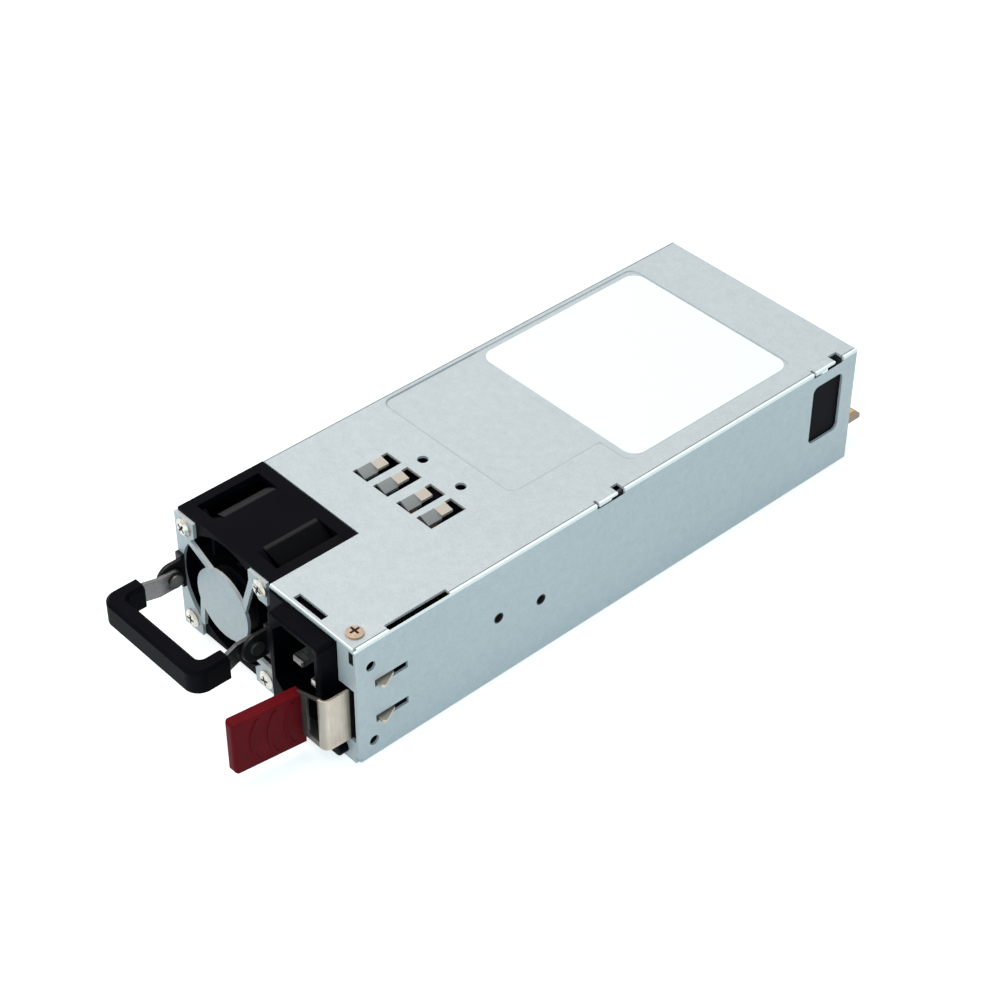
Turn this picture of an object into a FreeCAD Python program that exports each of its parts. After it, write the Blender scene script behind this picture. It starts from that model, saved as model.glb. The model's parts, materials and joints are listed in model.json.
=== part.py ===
import FreeCAD, Part
import math
import os

# Hot swap server power supply, millimetres.
# X runs right, Y runs from the front panel to the card edge, Z is up.
# The origin is the centre of the case's bottom face.

V = FreeCAD.Vector

# Driving dimensions: case
case_width = 73.5
case_length = 185.0
case_height = 40.0
case_sheet = 0.8
panel_sheet = 1.0
bend_radius = 1.3
sheet_gap = 0.25

# Fan, let into cut-outs so that it fills the whole height
fan_inset = 0.3
fan_sink = 0.05
fan_depth = 28.0
fan_flange = 4.0
fan_waist_flat = 1.6
fan_wall = 1.2
fan_hole_inset = 3.95
fan_post_radius = 2.3
fan_hub_radius = 9.6
fan_tip_gap = 0.5
fan_blades = 7
blade_sheet = 0.9
blade_twist = 38.0
fan_end_gap = 1.6
shaft_radius = 1.0
cup_wall = 0.9
magnet_sheet = 1.1
air_gap = 0.3
tube_wall = 1.0
bearing_length = 2.6

# Stamped guard
guard_disc_radius = 10.7
guard_rise = 1.2
guard_arm = 1.9
guard_arm_outer_angle = 142.0
guard_arm_inner_angle = 113.0
tab_width = 8.0
tab_height = 8.8
tab_top_drop = 1.1
right_tab_inset = 1.6
right_tab_width = 7.4
guard_margin = 1.35

# Pan head screws
screw_radius = 1.5
screw_head_radius = 2.7
cover_head_radius = 2.3
screw_head_height = 1.2
cross_long = 3.0
cross_wide = 0.7
cross_deep = 0.8
fan_screw_length = 7.0
board_screw_length = 5.6

# Inlet, turned so that its long side stands upright
bezel_edge_gap = 0.3
bezel_low = 5.9
bezel_foot = 1.0
bezel_foot_right = 12.5
bezel_proud = 0.5
shroud_left_room = 5.4
shroud_low_room = 11.0
shroud_skirt = 4.8
shroud_reach = 5.5
shroud_side_gap = 0.4
shroud_top_gap = 0.2
shroud_round = 1.6
socket_side_wall = 2.05
socket_end_wall = 1.7
socket_depth = 15.5
socket_corner = 3.6
socket_back = 2.0
blade_pitch = 14.0
blade_offset = 2.0
blade_wide = 4.0
blade_thick = 2.0
earth_recess = 2.4
power_recess = 4.6
terminal_length = 6.0

# Handle
left_leg_inset = 3.3
right_leg_inset = 3.2
handle_reach = 25.5
pivot_reach = 4.6
strap_sheet = 1.2
strap_tall = 6.0
strap_straight = 4.9
strap_flare = 1.4
grip_tall = 8.0
grip_leg = 4.8
grip_bar = 5.0
grip_leg_end = 14.3
grip_edge = 0.9
grip_corner = 4.6
grip_inner_corner = 2.0
ear_sheet = 1.2
ear_gap = 0.3
ear_tall = 8.6
ear_foot = 5.6
pivot_radius = 1.25
pivot_fit = 0.06
pivot_head_radius = 2.0
pivot_head = 0.7

# Latch: a spring leaf with two teeth, a window web and a pull tab
leaf_sheet = 0.8
leaf_low = 7.9
leaf_high = 24.9
leaf_back_low = 11.7
leaf_step = 3.0
leaf_side_room = 3.25
leaf_end = 43.3
leaf_wall_gap = 0.35
root_gap = 0.3
root_length = 23.0
root_tall = 12.4
web_reach = 8.0
web_length = 14.15
web_bend = 2.2
web_top_drop = 3.0
web_window_left = 10.15
web_window_width = 4.4
web_window_edge = 2.0
web_window_head = 0.8
tooth_thick = 1.0
tooth_front = 6.8
tooth_length = 5.4
tooth_reach = 2.1
lower_tooth = 12.6
slit_front = 6.0
slit_length = 10.7
slit_below = 0.85
slit_above = 1.5
passage_room = 6.85
passage_side = 0.95
side_slot_left = 1.5
side_slot_wide = 1.7
side_slot_tall = 4.0
side_slot_top_room = 1.6
tab_sheet = 3.6
tab_reach = 27.7
tab_low = 4.7
tab_tall = 17.0
tab_slant = 2.6
tab_face_room = 12.15
tab_round = 1.2
ridge_radius = 13.0
ridge_wide = 0.8
ridge_rise = 0.3
ridge_pitch = 5.0
ridge_first = 4.4
ridge_half = 7.2
rivet_hole = 1.25
rivet_wall = 0.4
rivet_flare = 2.3
rivet_rise = 0.35

# Cover
vent_width = 6.0
vent_length = 12.0
vent_front = 44.0
vent_left = (-16.9, -8.6, 0.8, 8.8)
vent_front_room = 1.4
vent_rear_room = 2.2
vent_flap = 3.3
vent_steep = 1.5
vent_shallow = 0.6
recess_depth = 0.35
recess_left_room = 2.15
recess_right_room = 7.35
recess_neck_length = 32.4
recess_back_room = 19.2
recess_step_room = 18.75
recess_step_gap = 2.2
recess_corner = 3.0
label_left_room = 1.9
label_right_room = 0.5
label_back_room = 0.5
label_length = 61.6
label_corner = 4.2
label_sheet = 0.15
cover_flange = 6.0
flange_latch_gap = 4.0
flange_window_gap = 7.0
edge_slot_front = 11.3
edge_slot_length = 20.1
edge_slot_width = 1.3
notch_back_room = (102.6, 18.1)
notch_length = (10.2, 12.4)
notch_deep = 1.6
notch_wide = 2.2
edge_slope = 1.4
tongue_length = 4.4
front_slot_room = 25.35
front_slot_width = 11.2
front_slot_deep = 2.3
cover_screw_room = 5.15
cover_screw_y = 4.4
pilot_radius = 1.55
pilot_room = 8.0
pilot_pitch = 15.2
pilot_centre = -0.6

# Right wall window and the rear panel
window_back_room = 17.7
window_length = 12.3
window_low = 14.4
window_high_room = 5.4
window_corner = 2.0
insulator_sheet = 0.4
grille_hole = 2.5
grille_pitch = 6.4
grille_margin = 4.5

# Status light
light_room = 7.9
light_z = 3.35
light_radius = 2.0
light_proud = 1.2
light_collar = 0.25
light_length = 5.0

# Board and its parts
board_sheet = 1.6
board_top = 9.7
board_fan_gap = 7.0
board_side_gap = 1.2
edge_inset = 3.75
edge_reach = 10.0
finger_pitch = 2.54
finger_width = 1.6
finger_length = 8.0
finger_sheet = 0.12
key_places = 15.5
key_width = 1.6
standoff_radius = 3.0
standoff_inset = 6.0
sheet_under_board = 0.4

# Parts on the board, in three bays across it
bay_edge = 1.0
row_gap = 3.0
first_row = 9.0
choke_deep = 11.0
choke_height = 18.0
choke_hole = 7.0
choke_inset = 1.2
film_inset = 2.0
film_height = 14.5
can_gap = 0.6
sink_top_room = 7.0
sink_wide = 5.4
sink_web = 1.8
sink_fins = 7
transistor_wide = 4.0
transistor_long = 9.5
transistor_tall = 15.0
fuse_radius = 2.6
fuse_cap = 0.6
relay_width = 10.0
relay_height = 15.5
core_length = 27.0
core_top_room = 6.5
core_wall = 4.0
core_overhang = 5.0
coil_wall = 2.6
coil_gap = 0.2
small_can_radius = 4.2
small_can_height = 20.0
small_can_pitch = 10.0
output_room = 81.0
output_sink_room = 33.0
bar_sheet = 1.5
bar_tall = 16.0
bar_gap = 10.0
control_room = 10.0
control_top_room = 5.5
control_sheet = 1.6

front = -case_length / 2
rear = case_length / 2
half = case_width / 2
inside = half - case_sheet
roof = case_height - case_sheet
fan_side = case_height - 2 * fan_sink
fan_left = -half + fan_inset
fan_right = fan_left + fan_side
fan_x = fan_left + fan_side / 2
fan_z = case_height / 2
fan_front = front + panel_sheet
fan_back = fan_front + fan_depth
fan_bore = fan_side / 2 - fan_wall
fan_pitch = fan_side - 2 * fan_hole_inset
cut_gap = 0.2

leaf_front_x = half - leaf_side_room
passage_left = half - passage_room
passage_right = half - passage_side
web_left = half - web_length
window_left = half - web_window_left
window_right = window_left + web_window_width
light_x = half - light_room
cover_screw_x = half - cover_screw_room
front_slot_left = half - front_slot_room
recess_left = -half + recess_left_room
recess_right = half - recess_right_room
recess_back = rear - recess_back_room
label_left = recess_left + label_left_room
label_right = recess_right - label_right_room
label_back = recess_back - label_back_room
window_front = rear - window_back_room
window_high = case_height - window_high_room
notches = [rear - room for room in notch_back_room]
label_front = label_back - label_length
recess_step = label_front - recess_step_gap
recess_front = recess_step - recess_neck_length
pilot_y = recess_front - pilot_room
edge_width = case_width - 2 * edge_inset
board_front = fan_back + board_fan_gap
board_side = inside - board_side_gap
board_bottom = board_top - board_sheet


def box(x0, x1, y0, y1, z0, z1):
    return Part.makeBox(x1 - x0, y1 - y0, z1 - z0, V(x0, y0, z0))


def rod(x, y, z, radius, length, way):
    return Part.makeCylinder(radius, length, V(x, y, z), way)


def rod_x(x0, x1, y, z, radius):
    return rod(x0, y, z, radius, x1 - x0, V(1, 0, 0))


def rod_y(x, y0, y1, z, radius):
    return rod(x, y0, z, radius, y1 - y0, V(0, 1, 0))


def rod_z(x, y, z0, z1, radius):
    return rod(x, y, z0, radius, z1 - z0, V(0, 0, 1))


def plate(points, way):
    return Part.Face(Part.makePolygon(points + [points[0]])).extrude(way)


def join(first, others):
    return first.fuse(others).removeSplitter()


def rounded(solid, radius, way):
    edges = []
    for edge in solid.Edges:
        if edge.Curve.TypeId != "Part::GeomLine":
            continue
        run = edge.tangentAt(edge.FirstParameter)
        if abs(run.dot(way)) > 0.999:
            edges.append(edge)
    return solid.makeFillet(radius, edges)


def soft_box(x0, x1, y0, y1, z0, z1, radius, way):
    return rounded(box(x0, x1, y0, y1, z0, z1), radius, way)


def group(solids):
    return Part.makeCompound(solids)


def fan_corners():
    reach = fan_pitch / 2
    return [(fan_x + sx * reach, fan_z + sz * reach) for sx in (-1, 1) for sz in (-1, 1)]


def long_edges(solid, x, z):
    found = []
    for edge in solid.Edges:
        middle = edge.CenterOfMass
        if abs(abs(middle.x) - x) < 1e-6 and abs(middle.z - z) < 1e-6:
            found.append(edge)
    return found


# Base: bottom and side walls folded from one sheet
def sloped_edge(y, length, z):
    points = [V(inside - 1, y, z - edge_slope), V(inside, y, z - edge_slope), V(half - 0.1, y, z - 0.1),
              V(half - 0.1, y, z + 1), V(inside - 1, y, z + 1)]
    return plate(points, V(0, length, 0))


def base_chassis():
    low = front + panel_sheet
    outer = box(-half, half, low, rear, 0, case_height)
    outer = outer.makeFillet(bend_radius, long_edges(outer, half, 0))
    room = box(-inside, inside, low - 1, rear + 1, case_sheet, case_height + 1)
    room = room.makeFillet(bend_radius - case_sheet, long_edges(room, inside, case_sheet))
    shell = outer.cut(room)
    cuts = [box(-half - 1, fan_right + cut_gap, low - 1, fan_back + cut_gap, -1, case_height + 1)]
    for z in (leaf_high, lower_tooth):
        y = front + slit_front
        cuts.append(box(inside - 1, half + 1, y, y + slit_length, z - slit_below, z + slit_above))
    for y, z in ((4.9, case_height - 8.1), (5.1, 6.0)):
        cuts.append(rod_x(inside - 1, half + 1, front + y, z, 1.5))
    for y, z in rivet_places():
        cuts.append(rod_x(inside - 1, half + 1, y, z, rivet_hole + rivet_wall))
    y = window_front
    cuts.append(soft_box(inside - 1, half + 1, y, y + window_length, window_low, window_high,
                         window_corner, V(1, 0, 0)))
    for y, length in zip(notches, notch_length):
        cuts.append(box(inside - 1, half + 1, y, y + length, case_height - notch_deep, case_height + 1))
        cuts.append(sloped_edge(y, length, case_height - notch_deep))
    cuts.append(sloped_edge(front + edge_slot_front, edge_slot_length, case_height))
    for x, y in standoff_places():
        cuts.append(rod_z(x, y, -1, case_sheet + 1, screw_radius))
    return shell.cut(cuts)


# Cover: flat sheet with folded sides, lanced vents and the label's recess
def recess_outline(z, height, grow):
    x0, x1 = recess_left - grow, recess_right + grow
    y0, y1 = recess_front - grow, recess_back + grow
    xs, ys = half - recess_step_room + grow, recess_step - grow
    points = [V(x0, y0, z), V(xs, y0, z), V(xs, ys, z), V(x1, ys, z), V(x1, y1, z), V(x0, y1, z)]
    return rounded(plate(points, V(0, 0, height)), recess_corner, V(0, 0, 1))


def vent(x0):
    y0 = front + vent_front
    y1 = y0 + vent_length
    hole = box(x0, x0 + vent_width, y0, y1, roof - 1, case_height + 1)
    middle = (y0 + y1) / 2
    flaps = []
    x1 = x0 + vent_flap
    for start, end, dip in ((y0 + vent_front_room, middle, vent_steep),
                            (middle, y1 - vent_rear_room, vent_shallow)):
        outline = [V(x0 - 0.3, start, roof), V(x0, start, case_height), V(x1, start, case_height - dip),
                   V(x1, start, roof - dip)]
        flaps.append(plate(outline, V(0, end - start, 0)))
    return hole, flaps


def top_cover():
    side = inside - sheet_gap
    sheet = box(-side, side, front, rear - sheet_gap, roof, case_height)
    drop = roof - cover_flange
    y0, y1 = fan_back + 2, rear - panel_sheet - 2
    left = box(-side, -side + case_sheet, y0, y1, drop, roof)
    right_front = front + leaf_end + root_length + flange_latch_gap
    right = box(side - case_sheet, side, right_front, window_front - flange_window_gap, drop, roof)
    pad = recess_outline(roof - recess_depth, recess_depth, case_sheet).common(
        box(-side + case_sheet, side - case_sheet, front, rear, 0, case_height))
    tongues = []
    for start in notches:
        y = start + 0.9
        tongues.append(box(side - 1, half - 0.1, y, y + tongue_length, case_height - notch_deep * 0.8,
                           case_height))
    solid = join(sheet, [left, right, pad] + tongues)
    cuts = [recess_outline(case_height - recess_depth, recess_depth + 1, 0)]
    cuts.append(box(-half, fan_right + cut_gap, front - 1, fan_back + cut_gap, 0, case_height + 1))
    for notch_y, length in zip(notches, notch_length):
        y = notch_y + 0.9 + tongue_length
        cuts.append(box(side - notch_wide, half, y, notch_y + length, roof - 0.1, case_height + 1))
        cuts.append(box(side - 0.9, half, notch_y, notch_y + 0.9, roof - 0.1, case_height + 1))
    y = front + edge_slot_front
    cuts.append(box(side - edge_slot_width, half, y, y + edge_slot_length, roof - 1, case_height + 1))
    cuts.append(box(front_slot_left, front_slot_left + front_slot_width, front + 1.2,
                    front + 1.2 + front_slot_deep, roof - 1, case_height + 1))
    for side_way in (-1, 1):
        x = pilot_centre + side_way * pilot_pitch / 2
        cuts.append(rod_z(x, pilot_y, roof - 1, case_height + 1, pilot_radius))
    cuts.append(rod_z(cover_screw_x, front + cover_screw_y, roof - 1, case_height + 1, screw_radius + 0.1))
    cone = Part.makeCone(cover_head_radius + 0.1, cover_head_radius + 0.8, 0.35,
                         V(cover_screw_x, front + cover_screw_y, case_height - 0.35), V(0, 0, 1))
    cuts.append(cone)
    louvres = []
    for x in vent_left:
        hole, flaps = vent(x)
        cuts.append(hole)
        louvres.extend(flaps)
    return join(solid.cut(cuts), louvres)


def rating_label():
    z = case_height - recess_depth
    return soft_box(label_left, label_right, label_front, label_back, z, z + label_sheet,
                    label_corner, V(0, 0, 1))


def hexagon(radius, height):
    corners = []
    for k in range(6):
        turn = math.radians(60 * k)
        corners.append(V(radius * math.cos(turn), radius * math.sin(turn), 0))
    return plate(corners, V(0, 0, height))


def pan_screw(length, crossed, head_radius):
    half_head = screw_head_height / 2
    shank = Part.makeCylinder(screw_radius, length, V(0, 0, -length))
    if not crossed:
        return hexagon(head_radius, screw_head_height).fuse(shank)
    head = Part.makeCylinder(head_radius, half_head)
    dome = Part.makeCone(head_radius, head_radius * 0.66, half_head, V(0, 0, half_head))
    solid = head.fuse([dome, shank])
    low, high = screw_head_height - cross_deep, screw_head_height + 1
    cuts = []
    for a, b in ((cross_long / 2, cross_wide / 2), (cross_wide / 2, cross_long / 2)):
        cuts.append(box(-a, a, -b, b, low, high))
    return solid.cut(cuts)


def set_at(solid, x, y, z):
    solid.translate(V(x, y, z))
    return solid


def cover_screw():
    solid = pan_screw(case_sheet + panel_sheet + 2, True, cover_head_radius)
    return set_at(solid, cover_screw_x, front + cover_screw_y, case_height - 0.35)


# Front panel with the stamped spider in front of the fan
def guard_arm_bar(x0, z0, x1, z1):
    run = V(x1 - x0, 0, z1 - z0)
    side = V(-run.z, 0, run.x)
    side.normalize()
    side = side * (guard_arm / 2)
    y0, y1 = front, front - guard_rise
    a, b = V(x0, y0, z0), V(x1, y1, z1)
    points = [a + side, a - side, b - side, b + side]
    back = V(0, panel_sheet, 0)
    return plate(points, back)


def front_panel():
    sheet = box(-half, half, front, front + panel_sheet, 0, roof)
    tab_right = fan_right - right_tab_inset
    right_tab = tab_right - right_tab_width
    left_tab = -half + tab_width
    y0, y1 = front - 2, front + 2
    cuts = [rod_y(fan_x, y0, y1, fan_z, fan_side / 2 - guard_margin)]
    lower = tab_height
    upper = case_height - tab_height
    bezel_left = fan_right - 0.75
    cuts.append(box(left_tab, right_tab, y0, y1, upper, case_height))
    cuts.append(box(left_tab, right_tab, y0, y1, -1, lower))
    cuts.append(box(tab_right, bezel_left + 0.5, y0, y1, lower, case_height))
    cuts.append(box(right_tab + 2, tab_right + 1, y0, y1, lower, upper))
    cuts.append(box(-half - 1, tab_right + 1, y0, y1, case_height - tab_top_drop, case_height))
    cuts.append(box(bezel_left, passage_left, y0, y1, bezel_low - 0.3, roof - 0.55))
    cuts.append(box(passage_left - 0.5, passage_right, y0, y1, leaf_low - 0.4, leaf_high + 0.7))
    slot_left = passage_right - side_slot_left
    slot_top = case_height - side_slot_top_room
    cuts.append(box(slot_left, slot_left + side_slot_wide, y0, y1, slot_top - side_slot_tall, slot_top))
    cuts.append(box(inside - 0.6, half + 1, y0, y1, -1, 2.2))
    cuts.append(rod_y(light_x, y0, y1, light_z, light_radius + 0.1))
    hub = rod_y(fan_x, front - guard_rise, front - guard_rise + panel_sheet, fan_z, guard_disc_radius)
    outer, inner = fan_side / 2 - guard_margin + 0.8, guard_disc_radius - 1.0
    arms = []
    for k in range(4):
        ends = []
        for reach, angle in ((outer, guard_arm_outer_angle), (inner, guard_arm_inner_angle)):
            turn = math.radians(angle - 90 * k)
            ends.append((fan_x + reach * math.cos(turn), fan_z + reach * math.sin(turn)))
        arms.append(guard_arm_bar(ends[0][0], ends[0][1], ends[1][0], ends[1][1]))
    flange = box(cover_screw_x - 1.6, cover_screw_x + 3.6, front + panel_sheet, front + 2 * cover_screw_y,
                 roof - panel_sheet, roof)
    solid = join(sheet.cut(cuts), [hub, flange] + arms)
    holes = []
    for x, z in fan_corners():
        holes.append(rod_y(x, y0, y1, z, screw_radius + 0.05))
    holes.append(rod_z(cover_screw_x, front + cover_screw_y, 0, case_height, screw_radius))
    return solid.cut(holes)


def rear_panel():
    y1 = rear
    y0 = rear - panel_sheet
    side = inside - sheet_gap
    sheet = rounded(box(-side, side, y0, y1, case_sheet, roof - sheet_gap), bend_radius, V(0, 1, 0))
    cuts = []
    half_edge = edge_width / 2 + 0.4
    cuts.append(box(-half_edge, half_edge, y0 - 1, y1 + 1, board_top - board_sheet - 0.3, board_top + 0.3))
    low = board_top + grille_margin
    high = roof - grille_margin
    across = grille_pitch
    rise = across * math.sqrt(3) / 2
    rows = int((high - low) / rise) + 1
    for row in range(rows):
        z = low + row * rise + (high - low - (rows - 1) * rise) / 2
        shift = across / 2 if row % 2 else 0
        count = int((side - grille_margin - shift) / across)
        for i in range(-count, count + (0 if row % 2 else 1)):
            x = i * across + shift
            corners = []
            for k in range(6):
                turn = math.radians(60 * k + 30)
                corners.append(V(x + grille_hole * math.cos(turn), y0 - 1, z + grille_hole * math.sin(turn)))
            cuts.append(plate(corners, V(0, panel_sheet + 2, 0)))
    return sheet.cut(cuts)


# Fan
def fan_frame():
    r = fan_side / 2
    body = box(fan_left, fan_right, fan_front, fan_back, fan_z - r, fan_z + r)
    y0, y1 = fan_front + fan_flange, fan_back - fan_flange
    waist = rod_y(fan_x, y0, y1, fan_z, r + fan_waist_flat)
    gap = box(fan_left - 1, fan_right + 1, y0, y1, fan_z - r - 1, fan_z + r + 1)
    posts = []
    for x, z in fan_corners():
        posts.append(rod_y(x, y0, y1, z, fan_post_radius))
    middle = waist.common(body)
    frame = body.cut(gap).fuse([middle] + posts)
    cuts = [rod_y(fan_x, fan_front - 1, fan_back + 1, fan_z, fan_bore)]
    for x, z in fan_corners():
        cuts.append(rod_y(x, fan_front - 1, fan_back + 1, z, screw_radius))
    frame = frame.cut(cuts)
    plate_back = rod_y(fan_x, fan_back - 1.2, fan_back, fan_z, fan_hub_radius)
    struts = []
    for k in range(4):
        strut = box(fan_hub_radius - 1, fan_bore + 0.4, fan_back - 2.4, fan_back, -0.9, 0.9)
        strut.rotate(V(0, 0, 0), V(0, 1, 0), 45 + 90 * k)
        strut.translate(V(fan_x, 0, fan_z))
        struts.append(strut)
    tube_outer = bearing_outer() + tube_wall
    tube = rod_y(fan_x, tube_front(), fan_back - 1.2, fan_z, tube_outer)
    frame = frame.fuse([plate_back, tube] + struts).removeSplitter()
    return frame.cut(rod_y(fan_x, tube_front() - 1, fan_back - 0.6, fan_z, bearing_outer()))


def tube_front():
    return fan_front + fan_end_gap + cup_wall + 2.2


def bearing_outer():
    return shaft_radius + 1.5


def cup_back():
    return fan_back - 1.2 - fan_end_gap


def fan_impeller():
    y0 = fan_front + fan_end_gap
    y1 = cup_back()
    hub = rod_y(fan_x, y0, y1, fan_z, fan_hub_radius)
    rim = [e for e in hub.Edges if abs(e.CenterOfMass.y - y0) < 1e-6]
    hub = hub.makeChamfer(0.8, rim)
    tip = fan_bore - fan_tip_gap
    blades = []
    length = y1 - y0 - 1.6
    lean = length * math.tan(math.radians(blade_twist))
    for k in range(fan_blades):
        front_side, back_side = [], []
        for i in range(4):
            t = i / 3
            x = lean * (t ** 1.6 - 0.5)
            y = y0 + 0.8 + length * t
            front_side.append(V(x - blade_sheet * 0.7, y, fan_hub_radius - 0.6))
            back_side.append(V(x + blade_sheet * 0.7, y, fan_hub_radius - 0.6))
        blade = plate(front_side + back_side[::-1], V(0, 0, tip - fan_hub_radius + 3))
        blade.rotate(V(0, 0, 0), V(0, 1, 0), 360.0 / fan_blades * k)
        blade.translate(V(fan_x, 0, fan_z))
        blades.append(blade)
    reach = rod_y(fan_x, y0, y1, fan_z, tip)
    wheel = hub.fuse([blade.common(reach) for blade in blades])
    inner = rod_y(fan_x, y0 + cup_wall, y1 + 1, fan_z, fan_hub_radius - cup_wall)
    return wheel.cut([inner, rod_y(fan_x, y0 - 1, y0 + cup_wall + 1, fan_z, shaft_radius)])


def fan_magnet():
    outer = fan_hub_radius - cup_wall
    y0 = fan_front + fan_end_gap + cup_wall
    ring = rod_y(fan_x, y0, cup_back() - 0.6, fan_z, outer)
    return ring.cut(rod_y(fan_x, y0 - 1, cup_back(), fan_z, outer - magnet_sheet))


def fan_shaft():
    return rod_y(fan_x, fan_front + fan_end_gap, fan_back - 1.4, fan_z, shaft_radius)


def fan_bearings():
    rings = []
    for y in (tube_front(), fan_back - 0.6 - bearing_length - 1.0):
        ring = rod_y(fan_x, y, y + bearing_length, fan_z, bearing_outer())
        rings.append(ring.cut(rod_y(fan_x, y - 1, y + bearing_length + 1, fan_z, shaft_radius + 0.03)))
    return group(rings)


def fan_stator():
    inner = bearing_outer() + tube_wall
    outer = fan_hub_radius - cup_wall - magnet_sheet - air_gap
    y0 = tube_front() + 2.4
    y1 = cup_back() - 3.0
    core = rod_y(fan_x, y0, y1, fan_z, outer)
    slots = []
    for k in range(4):
        slot = box(-0.7, 0.7, y0 - 1, y1 + 1, inner + 0.8, outer + 1)
        slot.rotate(V(0, 0, 0), V(0, 1, 0), 45 + 90 * k)
        slot.translate(V(fan_x, 0, fan_z))
        slots.append(slot)
    return core.cut(slots + [rod_y(fan_x, y0 - 1, y1 + 1, fan_z, inner)])


def fan_screws():
    screws = []
    for x, z in fan_corners():
        screw = pan_screw(fan_screw_length, True, screw_head_radius)
        screw.rotate(V(0, 0, 0), V(1, 0, 0), 90)
        screw.rotate(V(0, 0, 0), V(0, 1, 0), 37 * len(screws))
        screws.append(set_at(screw, x, front, z))
    return group(screws)


# Mains inlet
shroud_right = passage_left - bezel_edge_gap - shroud_side_gap + 0.2
shroud_left = fan_right + shroud_left_room
shroud_top = roof - 0.55 - bezel_edge_gap - shroud_top_gap + 0.25
shroud_low = shroud_low_room
inlet_x = (shroud_left + shroud_right) / 2
inlet_z = (shroud_low + shroud_top) / 2
socket_width = shroud_right - shroud_left - 2 * socket_side_wall
socket_height = shroud_top - shroud_low - 2 * socket_end_wall
rim_y = front - shroud_reach
socket_end = rim_y + socket_depth


def socket_shape(y0, y1):
    w, h, c = socket_width / 2, socket_height / 2, socket_corner
    x, z = inlet_x, inlet_z
    points = [V(x - w, y0, z - h + c), V(x - w + c, y0, z - h), V(x + w, y0, z - h), V(x + w, y0, z + h),
              V(x - w + c, y0, z + h), V(x - w, y0, z + h - c)]
    return rounded(plate(points, V(0, y1 - y0, 0)), 0.8, V(0, 1, 0))


def inlet_housing():
    left = fan_right + 0.1
    right = passage_left - bezel_edge_gap
    low = bezel_low
    high = roof - 0.55 - bezel_edge_gap + 0.1
    bezel = box(left, right, front - bezel_proud, front + panel_sheet, low, high)
    back = box(left, right, front + panel_sheet, front + panel_sheet + 1.6, low, roof - panel_sheet - 0.1)
    shroud = box(shroud_left, shroud_right, rim_y, front, shroud_low - shroud_skirt, shroud_top)
    shroud = rounded(shroud, shroud_round, V(0, 1, 0))
    rim = [e for e in shroud.Edges if abs(e.CenterOfMass.y - rim_y) < 1e-6]
    shroud = shroud.makeChamfer(0.5, rim)
    foot = box(left, half - bezel_foot_right, front - bezel_proud, front, bezel_foot, low)
    body = box(shroud_left + 0.4, shroud_right - 0.4, front, socket_end + socket_back,
               shroud_low + 0.4, shroud_top - 0.4)
    solid = join(bezel, [back, shroud, body, foot])
    cuts = [socket_shape(rim_y - 1, socket_end)]
    for x, z, wide in blade_places():
        cuts.append(box(x - wide / 2, x + wide / 2, socket_end - 1, socket_end + socket_back + 1,
                        z - blade_thick / 2, z + blade_thick / 2))
    return solid.cut(cuts)


def blade_places():
    x = inlet_x + blade_offset
    return [(x, inlet_z + blade_pitch / 2, blade_wide), (x, inlet_z - blade_pitch / 2, blade_wide),
            (inlet_x - blade_offset, inlet_z, blade_wide)]


def contact_blade(place, recess):
    x, z, wide = place
    y0 = rim_y + recess
    y1 = socket_end + socket_back + terminal_length
    blade = box(x - wide / 2, x + wide / 2, y0, y1, z - blade_thick / 2, z + blade_thick / 2)
    tip = [e for e in blade.Edges if abs(e.CenterOfMass.y - y0) < 1e-6]
    return blade.makeChamfer(0.45, tip)


def inlet_blades():
    places = blade_places()
    return group([contact_blade(places[0], power_recess), contact_blade(places[1], power_recess)])


def inlet_earth_blade():
    return contact_blade(blade_places()[2], earth_recess)


def status_light():
    pipe = rod_y(light_x, front - light_proud, front + panel_sheet + light_length, light_z, light_radius)
    collar = rod_y(light_x, front + panel_sheet, front + panel_sheet + 0.8, light_z,
                   light_radius + light_collar)
    return pipe.fuse(collar)


# Handle
leg_left = fan_left + left_leg_inset
leg_right = fan_right - right_leg_inset
pivot_y = front - pivot_reach
pivot_z = case_height / 2
bar_y = front - handle_reach + grip_bar / 2
leg_end_y = front - grip_leg_end
bar_left = leg_left - strap_flare
bar_right = leg_right + strap_flare


def strap_line():
    bend_y = pivot_y - strap_straight
    return [(leg_left, pivot_y), (leg_left, bend_y), (bar_left, leg_end_y), (bar_left, bar_y),
            (bar_right, bar_y), (bar_right, leg_end_y), (leg_right, bend_y), (leg_right, pivot_y)]


def strap_band():
    w = strap_sheet / 2
    low = pivot_z - strap_tall / 2
    outline = offset_line(strap_line(), w) + offset_line(strap_line(), -w)[::-1]
    return plate([V(x, y, low) for x, y in outline], V(0, 0, strap_tall))


def corners_at(solid, radius, y):
    edges = []
    for edge in solid.Edges:
        if edge.Curve.TypeId != "Part::GeomLine" or abs(edge.CenterOfMass.y - y) > 1e-6:
            continue
        if abs(edge.tangentAt(edge.FirstParameter).z) > 0.999:
            edges.append(edge)
    return solid.makeFillet(radius, edges)


def handle_strap():
    w = strap_sheet / 2
    band = strap_band()
    for x in (leg_left, leg_right):
        band = band.fuse(rod_x(x - w, x + w, pivot_y, pivot_z, strap_tall / 2))
    band = band.removeSplitter()
    hole = pivot_radius + pivot_fit
    return band.cut([rod_x(x - 1, x + 1, pivot_y, pivot_z, hole) for x in (leg_left, leg_right)])


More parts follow.
